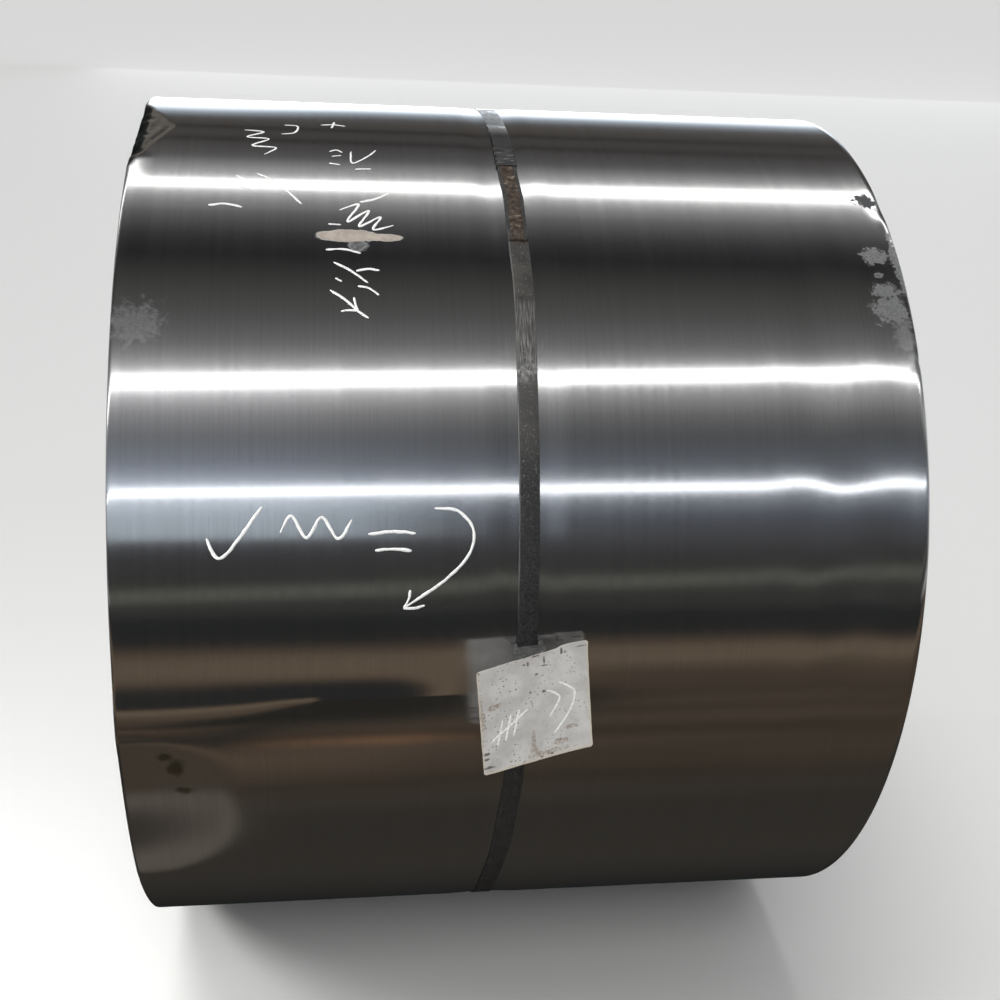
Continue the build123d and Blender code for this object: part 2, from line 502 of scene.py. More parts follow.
rub = rolled.times(rolled.most(rub, smear), rolled.ramp(fine_torn, 0.35, 0.65, 1.0, 0.7))
tone = rolled.layered(
    rolled.mix(rolled.ramp(lines, 0.3, 0.7), (0.52, 0.52, 0.52), (0.56, 0.56, 0.565)),
    (rolled.ramp(broad_lines, 0.3, 0.7, 0.0, 0.35), (0.52, 0.52, 0.52)),
    (rub, (0.075, 0.075, 0.077)),
    (scratched, (0.20, 0.20, 0.20)),
    (rolled.times(stain, 0.75), (0.14, 0.135, 0.085)),
    (dark_patch, (0.050, 0.052, 0.055)),
    (residue, rolled.mix(rolled.ramp(torn, 0.35, 0.65), (0.30, 0.255, 0.215), (0.40, 0.345, 0.295))),
    (lip_grime_and_shade, (0.085, 0.095, 0.092)),
)
dull = rolled.most(rub, scratched, dark_patch)
covered = rolled.most(residue, rolled.times(dull, 0.8))
sheen = rolled.ramp(broad_lines, 0.3, 0.7, 0.145, 0.175)
tangent = rolled.add("Tangent", direction_type="RADIAL", axis="X")
rolled.set(
    Base_Color=tone, Metallic=rolled.math("SUBTRACT", 1.0, covered), Anisotropic=0.8,
    Roughness=rolled.math("MULTIPLY_ADD", covered, 0.45, sheen), Anisotropic_Rotation=0.25,
    Tangent=tangent.outputs[0], Normal=rolled.bump(lines, 0.00002),
)

turn_edges = Finish("edges_of_turns")
ring_place = turn_edges.add("CombineXYZ", turn_edges.length(turn_edges.scaled((0, 1, 1)))).outputs[0]
fine_rings = turn_edges.noise(1.0, 3.0, stretch=(260, 1, 1), place=ring_place)
wide_rings = turn_edges.noise(1.0, 2.0, stretch=(38, 1, 1), place=ring_place)
ring_tone = turn_edges.layered(
    turn_edges.mix(turn_edges.ramp(fine_rings, 0.3, 0.7), (0.30, 0.30, 0.305), (0.55, 0.55, 0.55)),
    (turn_edges.ramp(wide_rings, 0.45, 0.7, 0.0, 0.6), (0.30, 0.30, 0.31)),
)
turn_edges.set(
    Base_Color=ring_tone, Metallic=1.0, Roughness=turn_edges.ramp(wide_rings, 0.3, 0.7, 0.34, 0.5),
    Normal=turn_edges.bump(fine_rings, 0.0004),
)
rolled.coat(wound_strip)
turn_edges.coat(wound_strip)
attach(wound_strip, "root")
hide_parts("coil")


# Strap
# Steel band, 32 by 0.9 mm, with worn black paint, pulled tight round the coil. It drifts a little sideways,
# its ends lap on top, and its hidden inner end is held with the outer one by the crimped seal.

strap_width = 0.032
strap_thickness = 0.0009
strap_inside = coil_radius - strap_thickness
seal_angle = 72.0
seal_length = 0.060
inner_tail = 0.090
outer_tail = 0.195
joggle_length = 0.025
seal_lift = 0.0013
lap_lift = 0.0012
seal_front = seal_angle - turn(seal_length / 2)
inner_tip = seal_angle + turn(seal_length / 2) + turn(inner_tail)
outer_tip = seal_front - turn(outer_tail)
joggle = turn(joggle_length)

# Lift of the band above its seat, by the angle that turns up from the tail and once round to the inner tip
strap_lift = (
    (outer_tip, lap_lift),
    (seal_front - joggle, lap_lift),
    (seal_front, seal_lift + lap_lift),
    (inner_tip, seal_lift + lap_lift),
    (inner_tip + joggle, 0.0),
    (seal_front - joggle + 360, 0.0),
    (seal_front + 360, seal_lift),
    (inner_tip + 360, seal_lift),
)

# Section of the band as (x, lift) points: its underside with rounded edges, and its top above that
half = strap_width / 2
band_round = 0.0002
places = (-half, 2 * band_round - half, -half / 3, half / 3, half - 2 * band_round, half)
underside = [(x, band_round if abs(x) == half else 0.0) for x in places]
band = underside + [(x, strap_thickness - lift) for x, lift in reversed(underside)]

# The band is spun once round at a radius of 1, a little short of a full turn, and then laid along its line
strap_steps = 620
strap_sweep = 359.9
mesh = bmesh.new()
strap_place = mesh.verts.layers.float_vector.new("strap_place")
ring = [mesh.verts.new((x, -(1 + lift), 0)) for x, lift in band]
flat = mesh.faces.new(ring)
bmesh.ops.spin(
    mesh, geom=[flat], cent=(0, 0, 0), axis=(1, 0, 0), angle=radians(strap_sweep), steps=strap_steps,
)
for vert in mesh.verts:
    lift = hypot(vert.co.y, vert.co.z) - 1
    share = 0.0 if vert in ring else (angle_of(vert.co) % 360) / strap_sweep
    angle = outer_tip + (1 - share) * (inner_tip + 360 - outer_tip)
    here = (angle + 90) % 360 - 90
    wobble = 0.0004 * noise.noise((angle * 0.13, 0.5, vert.co.x * 30))
    hold = 1 - hill(abs((angle % 360) - seal_angle), 0, 8)
    vert[strap_place] = (vert.co.x * 1000, here, lift * 1000)
    vert.co = spot(
        vert.co.x + strap_middle(here) + wobble * hold,
        strap_inside + through(strap_lift, angle) + lift,
        angle,
    )
face_outwards(mesh)
steel_strap = new_object("steel_strap", mesh)

black = Finish("worn_black_steel")
on_strap = black.add("Attribute", attribute_name="strap_place").outputs["Vector"]
across_strap, round_strap, _ = black.split(on_strap)


def zone(low, high, soft):
    """1 between two angles round the strap, fading over a soft stretch at each."""
    above = black.ramp(round_strap, low - soft, low + soft)
    below = black.ramp(round_strap, high - soft, high + soft, 1.0, 0.0)
    return black.times(above, below)


grime = black.noise(45, 5.0)
grain = black.noise(320, 3.0)
blotches = black.noise(130, 6.0)
drag = black.noise(1.0, 4.0, stretch=(1.1, 0.45, 0.2), place=on_strap)
olive = black.times(zone(30, 56, 4), black.ramp(grime, 0.3, 0.6, 0.5, 1.0))

# Rust along the middle of the outer end, below the seal, and a little of it far behind the seal
rust_width = black.ramp(black.math("ABSOLUTE", across_strap), 9.5, 11.5, 1.0, 0.0)
rust = black.times(zone(55.9, 69.8, 0.2), rust_width, black.ramp(grime, 0.25, 0.45, 0.6, 1.0))
rust_tone = black.layered(
    (0.030, 0.021, 0.0155),
    (black.ramp(blotches, 0.35, 0.62), (0.078, 0.057, 0.043)),
    (black.ramp(blotches, 0.60, 0.68), (0.22, 0.18, 0.14)),
)
few_rust = black.times(black.ramp(grime, 0.60, 0.68), black.ramp(round_strap, 84, 100))

# Bare steel where the paint is scraped, scuffed and flecked, and where it is rubbed off the left edge
scraped = black.times(zone(38.4, 47.5, 1.2), black.ramp(drag, 0.46, 0.62))
brightest = black.times(zone(38.2, 40.8, 0.8), black.ramp(blotches, 0.42, 0.6))
scuffed = black.times(zone(81, 108, 3), black.ramp(drag, 0.34, 0.56, 0.25, 1.0))
flecks = black.times(zone(24, 57, 3), black.ramp(grain, 0.60, 0.72, 0.0, 0.55))
left_rim = black.ramp(across_strap, -15.0, -13.6, 0.6, 0.0)
left_rim = black.times(zone(14, 57, 3), left_rim, black.ramp(drag, 0.35, 0.6, 0.25, 1.0))
bare = black.most(scraped, brightest, scuffed, left_rim, flecks)
paint = black.layered(
    black.mix(black.ramp(grain, 0.35, 0.7), (0.016, 0.016, 0.017), (0.042, 0.040, 0.038)),
    (olive, (0.058, 0.055, 0.049)),
    (rust, rust_tone),
    (few_rust, (0.085, 0.048, 0.032)),
    (bare, (0.30, 0.295, 0.29)),
    (scuffed, (0.46, 0.47, 0.48)),
)
dull_paint = black.math("MULTIPLY_ADD", rust, 0.2, black.ramp(grime, 0.3, 0.7, 0.33, 0.55))
black.set(
    Base_Color=paint, Metallic=black.math("MULTIPLY_ADD", bare, 0.7, 0.2),
    Specular_IOR_Level=black.math("MULTIPLY_ADD", rust, -0.25, 0.5),
    Roughness=black.math("MULTIPLY_ADD", scuffed, -0.14, dull_paint),
    Normal=black.bump(drag, 0.0003, under=black.bump(grime, 0.0005)),
)
black.coat(steel_strap)
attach(steel_strap, "root")
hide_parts("strap")


# Seal
# Sheet steel clip, 60 mm long, folded round both layers of the strap and crimped with three pairs of
# notches. It keeps its exact shape and gets a finish of its own, rubbed bright between the notches.

clip = Finish("worn_black_seal")
clip.unroll(coil_radius)
seal_grime = clip.noise(70, 6.0)
seal_drag = clip.noise(1.0, 4.0, stretch=(900, 160, 160))
seal_tone = clip.ramp(seal_grime, 0.35, 0.65)
seal_tone = clip.mix(seal_tone, (0.016, 0.017, 0.018), (0.050, 0.050, 0.048))

# Rubs between the notches: place across and round the seal from its middle, and half sizes
crimp_rubs = (
    (-0.009, 0.012, 0.005, 0.0014), (0.009, 0.003, 0.006, 0.0016), (0.001, -0.009, 0.004, 0.0022),
    (0.011, -0.015, 0.004, 0.0012), (-0.011, -0.021, 0.006, 0.0012),
)
seal_x, seal_up = strap_middle(seal_angle), up_to(seal_angle)
crimp_rub = clip.most(*[
    clip.oval(seal_x + across, seal_up + up, wide, tall, 2.2, seal_grime, 0.5)
    for across, up, wide, tall in crimp_rubs
])
crimp_rub = clip.times(crimp_rub, 0.6)
rubbed = clip.most(crimp_rub, clip.ramp(seal_drag, 0.62, 0.75, 0.0, 0.7))
clip.set(
    Base_Color=clip.mix(rubbed, seal_tone, (0.25, 0.25, 0.25)),
    Metallic=clip.math("MULTIPLY_ADD", rubbed, 0.6, 0.25),
    Roughness=clip.ramp(seal_grime, 0.3, 0.7, 0.36, 0.58), Normal=clip.bump(seal_grime, 0.0004),
)
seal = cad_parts["strap_seal"]
seal.data.materials.clear()
clip.coat(seal)


# Tag
# Painted steel sheet, 176 by 180 by 0.5 mm, bent by hand. It hangs on the strap by a tongue that is folded
# back from its top edge, with a slot that straddles the strap. Handling has creased it round the fold.

tag_width = 0.176
tag_height = 0.180
tag_thickness = 0.0005
tag_right = 0.0905
tag_top = 0.1255
tag_tilt = radians(6)
tag_middle = -0.009
tongue_half = 0.024
slot_half = 0.0163
slot_front = 0.7928
heel_radius = 0.79155

# How far the page stands off the coil at its top right and top left, and what it gains down to its bottom
right_standoff = 0.0045
right_hang = 0.021
left_standoff = 0.058
left_hang = 0.0115


def tag_spot(x, depth, down):
    """Point in the tag's tilted frame: sideways, towards the front and down from the top edge, in metres."""
    across = x * cos(tag_tilt) + down * sin(tag_tilt)
    up = x * sin(tag_tilt) - down * cos(tag_tilt)
    return Vector((tag_middle + across, -depth, tag_top + up))


def depth_at(radius, x):
    """Distance in front of the bore's axis where a circle round it crosses the tag's top edge."""
    return sqrt(radius ** 2 - (tag_top + x * sin(tag_tilt)) ** 2)


def page_depth(x, down):
    """How far in front of the bore's axis the middle of the bent page lies."""
    across = min(max((tag_right - x) / tag_width, 0.0), 1.0)
    share = max(down, 0.0) / tag_height
    right = right_standoff + right_hang * share ** 1.6
    left = left_standoff + left_hang * share
    depth = coil_radius + right + (left - right) * across ** 1.2 + tag_thickness / 2

    # Creases that fan out from the fold, a curled corner and small knocks
    away = hypot(x - 0.004, down - 0.004)
    turned = atan2(x - 0.004, down + 0.004)
    depth += 0.0011 * sin(turned * 9 + 0.8) * hill(away, 0.016, 0.020)
    depth += 0.0016 * hill(hypot((x - 0.050) / 0.007, (down - 0.004) / 0.010), 0, 1)
    depth += 0.0030 * smooth_step(x, 0.060, 0.088) * (1 - smooth_step(down, 0.0, 0.016))
    depth -= 0.0020 * smooth_step(-x, 0.055, 0.085) * smooth_step(down, 0.150, 0.180)
    return depth + 0.0006 * (noise.noise((x * 30, down * 30, 2.1)) - 1)


def page_spot(x, down, out):
    """Point at a distance in front of the middle of the page's thickness."""
    return tag_spot(x, page_depth(x, down) + out, down)


def thicken(mesh, faces, thickness):
    """Gives a bent sheet its back, a thickness behind the given faces."""
    mesh.normal_update()
    bmesh.ops.solidify(mesh, geom=faces, thickness=thickness)


mesh = bmesh.new()

# Tongue: columns from left to right, and rows from the page's edge to the slot's front and on to the heel
columns = (-tongue_half, -0.020, -slot_half, -0.010, -0.005, 0, 0.005, 0.010, slot_half, 0.020, tongue_half)
rows_to_slot = 5
rows_to_heel = 4
wide, long = len(columns) - 1, rows_to_slot + rows_to_heel
tongue = bmesh.ops.create_grid(mesh, x_segments=wide, y_segments=long, size=1)["verts"]
for vert in tongue:
    x = columns[round((vert.co.x + 1) / 2 * wide)]
    row = round((vert.co.y + 1) / 2 * long)
    edge, heel = page_depth(x, 0.0), depth_at(heel_radius, x)
    if row <= rows_to_slot:
        depth = edge + (slot_front - edge) * row / rows_to_slot
    else:
        depth = slot_front + (heel - slot_front) * (row - rows_to_slot) / rows_to_heel
    vert.co = tag_spot(x, depth, 0.0)
slot_faces = [
    face for face in mesh.faces
    if -face.calc_center_median().y < slot_front and abs(face.calc_center_median().x - tag_middle) < slot_half
]
bmesh.ops.delete(mesh, geom=slot_faces, context="FACES")
thicken(mesh, mesh.faces[:], tag_thickness)
for face in mesh.faces:
    face.material_index = 1

# Page: its rim is a little uneven, its corners are cut back, and its right part stands higher than the fold
page = bmesh.ops.create_grid(mesh, x_segments=58, y_segments=60, size=1)["verts"]
for vert in page:
    x = -vert.co.x * tag_width / 2 + tag_right - tag_width / 2
    down = (vert.co.y + 1) / 2 * tag_height
    on_side = abs(vert.co.x) > 0.999
    on_top_or_bottom = abs(vert.co.y) > 0.999
    cut = 0.0005 * noise.noise((x * 60, down * 60, 9.0)) + 0.0015 * on_side * on_top_or_bottom
    x -= cut * (1 if x > 0 else -1) * on_side
    down += cut * (1 if down < tag_height / 2 else -1) * on_top_or_bottom
    raised = 0.0034 * smooth_step(x, 0.040, 0.050) * (1 - smooth_step(down, 0.0, 0.03))
    vert.co = page_spot(x, max(down, 0.0) - raised, tag_thickness / 2)
page_faces = list({face for vert in page for face in vert.link_faces})
thicken(mesh, page_faces, tag_thickness)
face_outwards(mesh)
page_place = mesh.verts.layers.float_vector.new("page_place")
for vert in mesh.verts:
    x = (vert.co.x - tag_middle) * cos(tag_tilt) + (vert.co.z - tag_top) * sin(tag_tilt)
    down = (vert.co.x - tag_middle) * sin(tag_tilt) - (vert.co.z - tag_top) * cos(tag_tilt)
    vert[page_place] = (x * 1000, down * 1000, 0)
for edge in mesh.edges:
    if len(edge.link_faces) == 2 and edge.calc_face_angle() > radians(40):
        edge.smooth = False
tag_sheet = new_object("tag_sheet", mesh)

sheet = Finish("tag_paint")
on_page = sheet.add("Attribute", attribute_name="page_place").outputs["Vector"]
page_x, page_down, _ = sheet.split(on_page)
clouds = sheet.noise(28, 5.0)
dirt = sheet.noise(110, 6.0)
ragged = sheet.noise(300, 4.0)


def page_marks(places):
    """1 inside ragged ovals on the page, given by place across and down, half sizes and raggedness."""
    marks = []
    for x, down, wide, tall, rough in places:
        out = sheet.math("MULTIPLY_ADD", dirt, rough, sheet.from_middle(on_page, x, down, wide, tall))
        marks.append(sheet.ramp(out, 0.45 + rough / 2, 1.1 + rough / 2, 1.0, 0.0))
    return sheet.most(*marks)


# Dark specks, larger towards the left
speck_places = sheet.add("TexVoronoi", Vector=on_page, Scale=0.16)
left_part = sheet.ramp(page_x, 40, -40, 0.0, 0.08)
speck_size = sheet.math("ADD", sheet.ramp(clouds, 0.35, 0.60, 0.02, 0.16), left_part)
speck = sheet.math("SUBTRACT", speck_places.outputs["Distance"], speck_size)
speck = sheet.ramp(speck, 0.0, 0.07, 1.0, 0.0)
speck = sheet.times(speck, sheet.ramp(ragged, 0.36, 0.50))

# Brown stains, rusty left edge, smudged corner, painted shade in the creases and bends near the top edge, and
# cream rims
brown_marks = page_marks((
    (-4, 147, 4.5, 24, 1.0), (-3, 162, 7, 10, 1.8), (56, 138, 13, 4, 1.8), (38, 158, 15, 7, 2.4),
    (-62, 66, 15, 8, 2.4), (-83, 75, 6, 34, 1.8), (15, 170, 40, 5, 2.6),
))
brown_marks = sheet.times(brown_marks, sheet.ramp(ragged, 0.35, 0.62, 0.15, 0.75))
# Dark marks: smudges on the corners and edges, and painted shade along the creases near the fold
smudges_and_crease_shade = page_marks((
    (-80, 143, 6, 3, 2.0), (-77, 168, 8, 3, 2.2), (-80, 152, 5, 2, 2.0), (-6, 12, 2.2, 5, 1.6),
    (6, 3, 8, 1.6, 1.6), (20, 13, 1.6, 8, 1.6), (48, 6, 2.6, 6, 1.6), (54, 9, 2.4, 2.4, 1.6),
    (-12, 12, 4, 2, 2.0), (7, 34, 4, 2.4, 2.2), (20, 23, 9, 1.2, 2.2), (-84, 4, 4, 3, 1.6),
    (80, 5, 12, 1.3, 0.8), (-4, 62, 2.6, 3.4, 2.2), (17, 66, 3.4, 3, 2.2), (8, 176, 3, 2, 2.2),
    (24, 175, 3, 1.6, 2.2), (-22, 178, 4, 1.6, 2.2),
))
rim_left = sheet.ramp(page_x, -85.0, -81.5, 1.0, 0.0)
rim_low = sheet.ramp(page_down, 175.0, 178.5)
rim_right = sheet.ramp(page_x, 87.0, 89.5)
rims = sheet.most(sheet.times(rim_left, sheet.ramp(dirt, 0.3, 0.55)), rim_low, rim_right)
sheet_tone = sheet.layered(
    sheet.mix(sheet.ramp(clouds, 0.35, 0.65), (0.46, 0.44, 0.42), (0.57, 0.55, 0.525)),
    (sheet.ramp(dirt, 0.52, 0.74, 0.0, 0.35), (0.36, 0.335, 0.31)),
    (sheet.times(speck, 0.75), (0.10, 0.085, 0.070)),
    (brown_marks, (0.23, 0.165, 0.115)),
    (sheet.times(smudges_and_crease_shade, 0.85), (0.055, 0.048, 0.042)),
    (sheet.times(rims, 0.8), (0.56, 0.48, 0.38)),
)
sheet.set(
    Base_Color=sheet_tone, Roughness=sheet.ramp(dirt, 0.3, 0.7, 0.5, 0.72),
    Normal=sheet.bump(dirt, 0.0005, under=sheet.bump(clouds, 0.0018)),
)
# The tongue's finish is dark: painted shade on its upturned faces, with grime where the strap rubs it
tongue_rub_and_shade = Finish("rubbed_and_shaded_tongue")
tongue_grime = tongue_rub_and_shade.noise(160, 5.0)
tongue_shade_and_grime_tone = tongue_rub_and_shade.ramp(tongue_grime, 0.4, 0.65)
tongue_shade_and_grime_tone = tongue_rub_and_shade.mix(tongue_shade_and_grime_tone, (0.035, 0.036, 0.034), (0.085, 0.084, 0.080))
tongue_rub_and_shade.set(
    Base_Color=tongue_shade_and_grime_tone, Roughness=0.55, Normal=tongue_rub_and_shade.bump(tongue_grime, 0.0004),
)
sheet.coat(tag_sheet)
tongue_rub_and_shade.coat(tag_sheet)
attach(tag_sheet, "root")
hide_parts("tag")


# Chalk marks
# Strokes of white paint stick on the strip and on the tag: tallies, ticks, waves and arrows that say nothing.
# Each is a thin crowned ribbon that lies on its surface.

chalk_rise = 0.0003
chalk_rim = 0.00005
chalk_thickness = 0.0001


def drawn(points, place):
    """Place and heading on a smooth line through points, at a place that is counted in points."""
    index = min(int(place), len(points) - 2)
    share = place - index
    before, start = Vector(points[max(index - 1, 0)]), Vector(points[index])
    end, after = Vector(points[index + 1]), Vector(points[min(index + 2, len(points) - 1)])
    first = (end - before) / 2
    second = before - start * 2.5 + end * 2 - after / 2
    third = (start - end) * 1.5 + (after - before) / 2
    return (
        start + first * share + second * share ** 2 + third * share ** 3,
        first + second * share * 2 + third * share ** 2 * 3,
    )


def stroke(mesh, points, width, surface):
    """One stroke along points in millimetres, on a surface that turns (sideways, up, out) into a place."""
    way = sum((Vector(after) - Vector(before)).length for before, after in zip(points, points[1:]))
    steps = max(int(way / 3), 6)
    made = bmesh.ops.create_grid(mesh, x_segments=steps, y_segments=2, size=1)["verts"]
    for vert in made:
        share = (vert.co.x + 1) / 2
        middle, heading = drawn(points, share * (len(points) - 1))
        side = Vector((-heading.y, heading.x)).normalized()
        uneven = 0.85 + 0.45 * noise.noise((middle.x * 0.09, middle.y * 0.09, vert.co.y))
        taper = min(1.0, 0.45 + 5 * share, 0.35 + 7 * (1 - share))
        flat = middle + side * vert.co.y * width * uneven * taper / 2
        rise = chalk_rise if abs(vert.co.y) < 0.5 else chalk_rim
        vert.co = surface(flat.x / 1000, flat.y / 1000, rise)


def on_coil(x, up, out):
    """Place on the dented outside of the coil: along it, and round it from the front turning up."""
    angle = turn(up)
    return spot(x, coil_radius - dented(x, angle) + out, angle)


def on_tag(x, up, out):
    """Place on the front of the page, with the way up counted from its top edge."""
    return page_spot(x, -up, tag_thickness / 2 + out)


def chalk_piece(name, strokes, surface):
    """A piece made of strokes, each given as its width and its points."""
    mesh = bmesh.new()
    for width, points in strokes:
        stroke(mesh, points, width, surface)
    thicken(mesh, mesh.faces[:], chalk_thickness)
    face_outwards(mesh)
    piece = new_object(name, mesh)
    chalk.coat(piece)
    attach(piece, "root")


chalk = Finish("chalk")
chalk_grain = chalk.noise(420, 4.0)
chalk.set(
    Base_Color=chalk.mix(chalk.ramp(chalk_grain, 0.36, 0.52), (0.62, 0.62, 0.61), (0.86, 0.855, 0.84)),
    Roughness=0.85, Normal=chalk.bump(chalk_grain, 0.0002),
)

# Large marks low on the left: a tick, a wave, two dashes and a long hooked arrow
chalk_piece("chalk_large", (
    (5.5, ((-484, 292), (-462, 264), (-404, 338))),
    (5.0, ((-378, 300), (-362, 324), (-340, 292), (-318, 322), (-294, 290), (-274, 318))),
    (5.5, ((-250, 296), (-214, 300), (-180, 297))),
    (5.0, ((-240, 272), (-212, 274), (-186, 271))),
    (5.0, ((-152, 334), (-118, 330), (-94, 302), (-102, 262), (-142, 222), (-198, 184))),
    (4.5, ((-198, 184), (-190, 198), (-188, 212))),
    (4.5, ((-198, 184), (-182, 184), (-166, 188))),
), on_coil)

# Small marks higher up: a struck tally, a zigzag, ticks, a scribble and an arrow
chalk_piece("chalk_small", (
    (5.0, ((-492, 842), (-466, 846), (-440, 839))),
    (4.0, ((-484, 908), (-456, 893), (-428, 882))),
    (4.0, ((-452, 918), (-424, 900), (-396, 888))),
    (4.0, ((-420, 926), (-392, 906), (-364, 872), (-348, 850))),
    (4.5, ((-446, 1075), (-414, 1068), (-440, 1046), (-404, 1040), (-430, 1014), (-392, 1008), (-410, 984))),
    (4.0, ((-380, 1104), (-358, 1100), (-362, 1070), (-384, 1062))),
    (4.5, ((-318, 1110), (-296, 1114), (-276, 1108))),
    (4.0, ((-300, 1096), (-297, 1112), (-295, 1128))),
    (3.5, ((-304, 1000), (-292, 1006), (-282, 998))),
    (3.5, ((-300, 984), (-284, 988))),
    (3.5, ((-304, 962), (-286, 958))),
    (3.5, ((-268, 1002), (-266, 964), (-240, 988), (-226, 1010))),
    (3.5, ((-262, 946), (-236, 948))),
    (4.5, (
        (-288, 838), (-258, 852), (-276, 812), (-242, 838), (-258, 802), (-224, 824), (-236, 796),
        (-204, 806),
    )),
    (5.0, ((-256, 858), (-232, 866), (-206, 884))),
    (3.5, ((-306, 806), (-286, 805))),
    (4.0, ((-310, 752), (-282, 754), (-256, 746))),
    (4.5, ((-298, 728), (-272, 712), (-246, 690))),
    (4.5, ((-264, 712), (-246, 716), (-228, 714))),
    (4.5, ((-304, 676), (-282, 660), (-262, 640), (-246, 628))),
    (4.0, ((-262, 640), (-266, 652), (-268, 664))),
    (4.0, ((-262, 640), (-276, 641), (-288, 639))),
    (4.0, ((-262, 684), (-244, 680), (-230, 668))),
    (4.0, ((-296, 698), (-286, 692))),
), on_coil)

# Marks on the tag: a struck tally and two chevrons
chalk_piece("chalk_on_tag", (
    (3.8, ((-50, -92), (-55, -112), (-61, -134))),
    (3.8, ((-37, -88), (-42, -108), (-48, -130))),
    (3.8, ((-24, -84), (-29, -104), (-35, -126))),
    (4.0, ((-70, -124), (-42, -108), (-10, -88))),
    (4.0, ((22, -66), (42, -84), (24, -112))),
    (4.2, ((42, -58), (66, -80), (56, -112), (30, -142))),
), on_tag)


# Studio
# A pale floor and plain soft light. The steel is a curved mirror, so its look comes from long soft lamps that
# run along it and from dim glowing cloths overhead and on the floor, painted with the bands and patches that
# it mirrors, which only its reflections see.

floor_z = cad_low.z
floor_radius = 60
mesh = bmesh.new()
bmesh.ops.create_circle(mesh, cap_ends=True, segments=96, radius=floor_radius)
bmesh.ops.translate(mesh, verts=mesh.verts, vec=(0, 0, floor_z))
floor = new_object("floor", mesh)
floor_paint = Finish("floor_paint")
floor_paint.set(Base_Color=(0.66, 0.655, 0.64), Roughness=0.8)
floor_paint.coat(floor)


def add_lamp(name, kind, energy, place, **settings):
    """Lamp of a kind at a place, which is a matrix."""
    lamp = bpy.data.lights.new(name, kind)
    lamp.energy = energy
    for key, value in settings.items():
        setattr(lamp, key, value)
    lamp_object = bpy.data.objects.new(name, lamp)
    lamp_object.matrix_world = place
    bpy.context.scene.collection.objects.link(lamp_object)
    return lamp_object


def strip_lamp(name, seen_from, elevation, height, length, radiance, colour, turned, distance=6.0):
    """Soft strip lamp along X, at an elevation above the front's horizon, aimed at where it is mirrored."""
    place = (
        Matrix.Translation(seen_from + spot(0, 1, elevation) * distance)
        @ Matrix.Rotation(radians(90 - elevation), 4, "X")
        @ Matrix.Rotation(radians(turned), 4, "Z")
    )
    lamp_object = add_lamp(
        name, "AREA", radiance * pi * length * height, place,
        shape="RECTANGLE", size=length, size_y=height, color=colour,
    )
    lamp_object.visible_diffuse = False


top_point = spot(-1.2, coil_radius, 66)
warm_white = (1.0, 0.985, 0.96)
strip_lamp("top_lamp", top_point, 118.4, 0.32, 18, 3.6, warm_white, 0.4)
strip_lamp("second_top_lamp", top_point, 118.4, 0.32, 18, 3.6, warm_white, 2.8)
strip_lamp("high_lamp", spot(0, coil_radius, 38), 57, 0.32, 16, 5, (1.0, 0.995, 0.98), 5)
strip_lamp("low_lamp", spot(0, coil_radius, 26), 27.6, 0.17, 16, 5, (0.93, 0.965, 1.0), 2)
strip_lamp("side_lamp", spot(-4.4, coil_radius, 24), 19, 1.1, 9, 0.64, (0.80, 0.91, 1.0), 2)

# Plain light for everything else: a soft sun overhead, a large soft box over the camera, and a small light
# from the left that reaches the back of the tag, which the steel behind it mirrors
front_elevation = 42
side_place = (-1.75, -0.76, 0.50)
side_heading = Vector((-1.67, 0.085, 0.47)).to_track_quat("Z", "Y")
plain_lamps = (
    add_lamp(
        "soft_sun", "SUN", 1.9,
        Matrix.Rotation(radians(-10), 4, "Y") @ Matrix.Rotation(radians(-6), 4, "X"),
        angle=radians(35),
    ),
    add_lamp(
        "front_light", "AREA", 95,
        Matrix.Translation(spot(-0.5, 5.5, front_elevation))
        @ Matrix.Rotation(radians(90 - front_elevation), 4, "X"),
        shape="RECTANGLE", size=5, size_y=3,
    ),
    add_lamp(
        "side_light", "AREA", 27,
        Matrix.Translation(side_place) @ side_heading.to_matrix().to_4x4(),
        size=0.5,
    ),
)
for lamp_object in plain_lamps:
    lamp_object.visible_glossy = False

# Overhead cloth: a glowing half round along the coil, painted with the bright and dark bands that the steel
# mirrors, its brightness by elevation above the front's horizon
cloth_radius = 14.0
cloth_dip = 4.0
cloth_half_length = 30
cloth_span = 180 + cloth_dip
overhead_tones = (
    (0.6, (0.05, 0.05, 0.047)), (1.6, (0.17, 0.17, 0.145)), (3.4, (0.17, 0.17, 0.145)),
    (4.6, (0.05, 0.05, 0.047)), (11, (0.06, 0.06, 0.062)), (14.5, (0.085, 0.085, 0.09)),
    (20, (0.10, 0.11, 0.13)), (24, (0.2, 0.22, 0.26)), (29, (0.30, 0.33, 0.38)),
    (34, (0.15, 0.165, 0.19)), (41, (0.11, 0.115, 0.12)), (47, (0.19, 0.19, 0.19)),
    (53, (0.42, 0.42, 0.42)), (60, (0.45, 0.45, 0.45)), (65, (0.22, 0.22, 0.22)),
    (73, (0.125, 0.125, 0.123)), (82, (0.075, 0.075, 0.07)), (91, (0.024, 0.024, 0.026)),
    (97, (0.045, 0.045, 0.048)), (104, (0.14, 0.14, 0.14)), (110, (0.36, 0.36, 0.36)),
    (115, (0.85, 0.85, 0.85)), (122, (0.45, 0.45, 0.45)), (128, (0.13, 0.13, 0.13)),
    (136, (0.085, 0.08, 0.078)), (150, (0.09, 0.082, 0.074)), (156, (0.12, 0.115, 0.11)),
    (162, (0.43, 0.49, 0.56)), (167, (1.6, 1.75, 1.9)), (184, (3.5, 3.6, 3.7)),
)
mesh = bmesh.new()
ends = [mesh.verts.new(spot(x, cloth_radius, -cloth_dip)) for x in (-cloth_half_length, cloth_half_length)]
rim = mesh.edges.new(ends)
